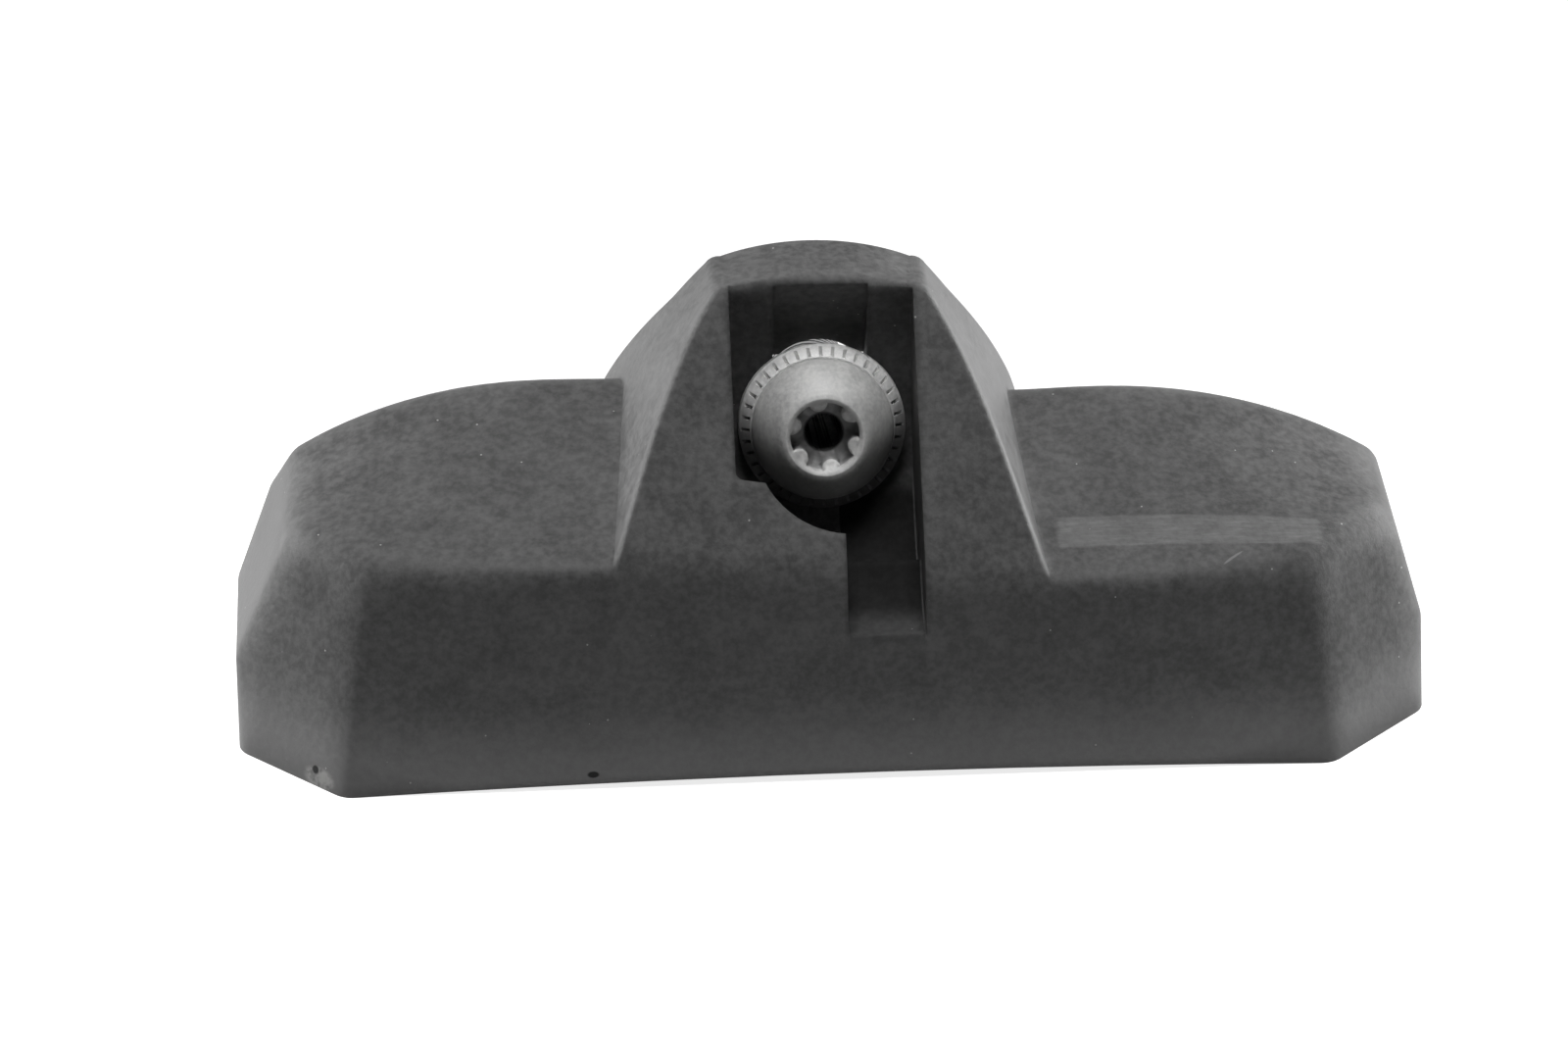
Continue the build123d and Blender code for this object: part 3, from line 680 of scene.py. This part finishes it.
thread_sizes = {
    "Pitch": thread_pitch,
    "Length": thread_end - thread_start,
    "Centre radius": crest_radius - ridge_radius,
    "Ridge radius": ridge_radius,
    "Finish": screw_steel,
}
thread_mesh = grow("thread", thread_tree, thread_sizes)
print("thread:", len(thread_mesh.polygons), "faces")

# %% Join the turned body and its thread
sharp_angle = math.radians(32)


def make_screw():
    foot = screw_origin - screw_axis * thread_end
    thread_mesh.transform(Matrix.Translation(foot) @ screw_turn.to_matrix().to_4x4())
    shape = bmesh.new()
    shape.from_mesh(screw_mesh)
    shape.from_mesh(thread_mesh)
    bmesh.ops.recalc_face_normals(shape, faces=shape.faces)
    mesh = bpy.data.meshes.new("threaded screw")
    shape.to_mesh(mesh)
    shape.free()
    mesh.shade_smooth()
    mesh.set_sharp_from_angle(angle=sharp_angle)
    screw = bpy.data.objects.new("threaded_screw", mesh)
    scene.collection.objects.link(screw)
    return screw


screw = make_screw()
dress(screw, screw_steel)
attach(screw, "screw")
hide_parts("valve_screw")
dress(frame["nodes"]["seat_washer"], washer_steel)
print("threaded screw:", len(screw.data.polygons), "faces")

# %% [markdown]
# ## What the shell holds
# The cover, the board, the cell and the small parts are hidden in use, but they are seen when the
# sensor is taken apart. Each gets a plain finish with a little grain: plastics and ceramics from the
# mould grain, sheet metals from the drawn streaks. Each row below has a dark and a light tint and a
# roughness.


# %% Plain finishes with grain
def make_grained(name, dark, light, roughness):
    finish = Finish(name, roughness)
    grain = finish.effect(mould_grain, Grains_per_metre=3000.0, Patches_per_metre=300.0)
    finish.link(finish.mix(grain["Shade"], dark, light), "Base Color")
    finish.bump(grain["Height"], strength=0.2, depth=0.03 * MM)
    return finish.material


def make_drawn_metal(name, dark, light, roughness):
    finish = Finish(name, roughness, metallic=1.0)
    marks = finish.effect(rub_marks, Streaks_per_metre=(120.0, 2600.0, 2600.0))
    finish.link(finish.mix(marks["Mask"], dark, light), "Base Color")
    rough = add_range(finish.tree, marks["Mask"], 0.0, 1.0, roughness + 0.06, roughness - 0.06)
    finish.link(rough, "Roughness")
    return finish.material


grained = {
    "cover_plastic": ((0.06, 0.06, 0.062), (0.09, 0.09, 0.092), 0.55),
    "seam_bead": ((0.09, 0.09, 0.09), (0.13, 0.13, 0.13), 0.42),
    "filter_membrane": ((0.72, 0.72, 0.7), (0.85, 0.85, 0.83), 0.8),
    "board_laminate": ((0.03, 0.15, 0.07), (0.06, 0.24, 0.11), 0.4),
    "cell_gasket": ((0.24, 0.24, 0.26), (0.33, 0.33, 0.35), 0.6),
    "chip_epoxy": ((0.03, 0.03, 0.034), (0.05, 0.05, 0.055), 0.5),
    "ferrite": ((0.09, 0.085, 0.085), (0.14, 0.13, 0.13), 0.6),
    "capacitor_body": ((0.38, 0.27, 0.17), (0.5, 0.37, 0.25), 0.5),
}
drawn = {
    "cell_steel": ((0.6, 0.6, 0.58), (0.76, 0.76, 0.74), 0.3),
    "tab_steel": ((0.54, 0.54, 0.52), (0.7, 0.7, 0.68), 0.34),
    "crystal_can": ((0.62, 0.62, 0.6), (0.78, 0.78, 0.76), 0.28),
    "copper_wire": ((0.5, 0.22, 0.1), (0.68, 0.34, 0.17), 0.32),
    "antenna_metal": ((0.62, 0.5, 0.28), (0.78, 0.65, 0.4), 0.3),
}
finishes = {slot: make_grained(slot.replace("_", " "), *look) for slot, look in grained.items()}
finishes.update({slot: make_drawn_metal(slot.replace("_", " "), *look) for slot, look in drawn.items()})
print("inner finishes:", len(finishes))

# %% Dress the inner pieces
for part in frame["record"]["subparts"]:
    slot = part["material_slot"]
    if slot in finishes:
        dress(frame["nodes"][part["node"]], finishes[slot])
        print(part["node"], "dressed in", finishes[slot].name)

# %% [markdown]
# ## Floor
# The sensor stands on a small white table, and all else around it is white too. Near the sensor the table
# throws light up at its lower edges. Further out the floor only glows towards the camera and into
# reflections, so that the picture stays white and the sensor keeps its shadow.

# %% White floor
floor_size = 6.0
table_rim = (14.0 * MM, 30.0 * MM)
table_near = (0.45, 0.45, 0.45)
table_far = (0.12, 0.12, 0.12)
glow_near = 0.8
glow_far = 0.95


def past(tree, value, edge):
    return add_math(tree, "SUBTRACT", add_math(tree, "ABSOLUTE", value), edge)


def make_floor():
    paint = Finish("white table", roughness=0.9)
    tree = paint.tree
    paint.shader.inputs["Specular IOR Level"].default_value = 0.0
    paint.shader.inputs["Emission Color"].default_value = (1.0, 1.0, 1.0, 1.0)
    spot = split_xyz(tree, paint.place)
    past_end = past(tree, spot["X"], cad_box[1][0])
    past_front = past(tree, spot["Y"], -cad_box[0][1])
    reach = add_math(tree, "MAXIMUM", past_end, past_front)
    far = add_range(tree, reach, *table_rim)
    paint.link(paint.mix(far, table_near, table_far), "Base Color")
    rays = tree.nodes.new("ShaderNodeLightPath").outputs
    labels = ("Is Camera Ray", "Is Glossy Ray", "Is Transmission Ray")
    seen = combine(tree, "MAXIMUM", *(rays[label] for label in labels))
    glow = add_range(tree, reach, *table_rim, glow_near, glow_far)
    paint.link(add_math(tree, "MULTIPLY", seen, glow), "Emission Strength")
    bpy.ops.mesh.primitive_plane_add(size=floor_size, location=(0, 0, 0))
    floor = bpy.context.active_object
    floor.name = "white_floor"
    floor.data.materials.append(paint.material)
    return floor


floor = make_floor()
print("floor:", floor.name, floor_size, "m wide")

# %% [markdown]
# ## Light
# The room itself is dim: a little light low down behind the sensor, less above, and hardly any on the
# camera's side, so the front stays the darkest face. Four soft lamps do the work. The one on top lights the
# wings and the upper half of the screw's dome, the two low ones at the sides rake over the flanks of the
# hump, which are the brightest faces, and a weak one behind lifts the upper edges.

# %% Dim room
room_front = 0.02
room_back = 0.25
room_top = 0.05
front_to_back = (-0.4, 0.3)
low_to_top = (0.15, 0.6)


def make_world():
    world = bpy.data.worlds.new("pale room")
    world.use_nodes = True
    scene.world = world
    tree = world.node_tree
    room = tree.nodes["Background"]
    room.inputs["Color"].default_value = (1.0, 1.0, 1.0, 1.0)
    spot = split_xyz(tree, tree.nodes.new("ShaderNodeTexCoord").outputs["Generated"])
    behind = add_range(tree, spot["Y"], *front_to_back)
    level = add_range(tree, spot["Z"], *low_to_top, room_back, room_top)
    strength = add_math(tree, "MULTIPLY_ADD", behind, level, room_front)
    tree.links.new(strength, room.inputs["Strength"])
    return world


print("world:", make_world().name)

# %% Soft lamps
middle = Vector((0.0, 0.0, 0.01))
lamps = {
    "top softbox": ((0.0, -0.07, 0.5), 0.25, 2.4),
    "rear softbox": ((0.0, 0.3, 0.5), 0.5, 0.4),
    "left softbox": ((-0.5, 0.26, 0.11), 0.2, 5.0),
    "right softbox": ((0.5, 0.26, 0.11), 0.2, 6.2),
}


def add_lamp(name, place, size, watts):
    lamp = bpy.data.lights.new(name, "AREA")
    lamp.size = size
    lamp.energy = watts
    holder = bpy.data.objects.new(name, lamp)
    holder.location = place
    holder.rotation_euler = (middle - Vector(place)).to_track_quat("-Z", "Y").to_euler()
    scene.collection.objects.link(holder)


for name, (place, size, watts) in lamps.items():
    add_lamp(name, place, size, watts)
    print(name, watts, "W")

# %% [markdown]
# ## Camera
# The camera looks at the sensor from the photograph's angle. A long lens far away gives the same flat
# perspective. Which pixel the sensor's middle falls on is set by the lens shift, because turning the camera
# towards it would change the angle.

# %% Camera
view_azimuth = math.radians(3.289)
view_elevation = math.radians(27.689)
view_roll = math.radians(-0.45)
view_distance = 0.4
photo_width = 1600
photo_height = 1065
focal_pixels = 7280.8
middle_pixel = (839.25, 539.3)
sensor_width = 36.0


def make_camera():
    lens = bpy.data.cameras.new("camera")
    lens.sensor_width = sensor_width
    lens.lens = focal_pixels / photo_width * sensor_width
    lens.shift_x = (photo_width / 2 - middle_pixel[0]) / photo_width
    lens.shift_y = (middle_pixel[1] - photo_height / 2) / photo_width
    lens.clip_start = 0.01
    camera = bpy.data.objects.new("camera", lens)
    level = math.cos(view_elevation)
    ahead_x = math.sin(view_azimuth) * level
    ahead_y = math.cos(view_azimuth) * level
    ahead = Vector((ahead_x, ahead_y, -math.sin(view_elevation)))
    camera.location = middle - ahead * view_distance
    upright = ahead.to_track_quat("-Z", "Y")
    camera.rotation_euler = (upright @ Quaternion((0, 0, 1), view_roll)).to_euler()
    scene.collection.objects.link(camera)
    scene.camera = camera
    return camera


camera = make_camera()
scene.view_settings.view_transform = "Standard"
print("camera at", [round(v, 4) for v in camera.location])
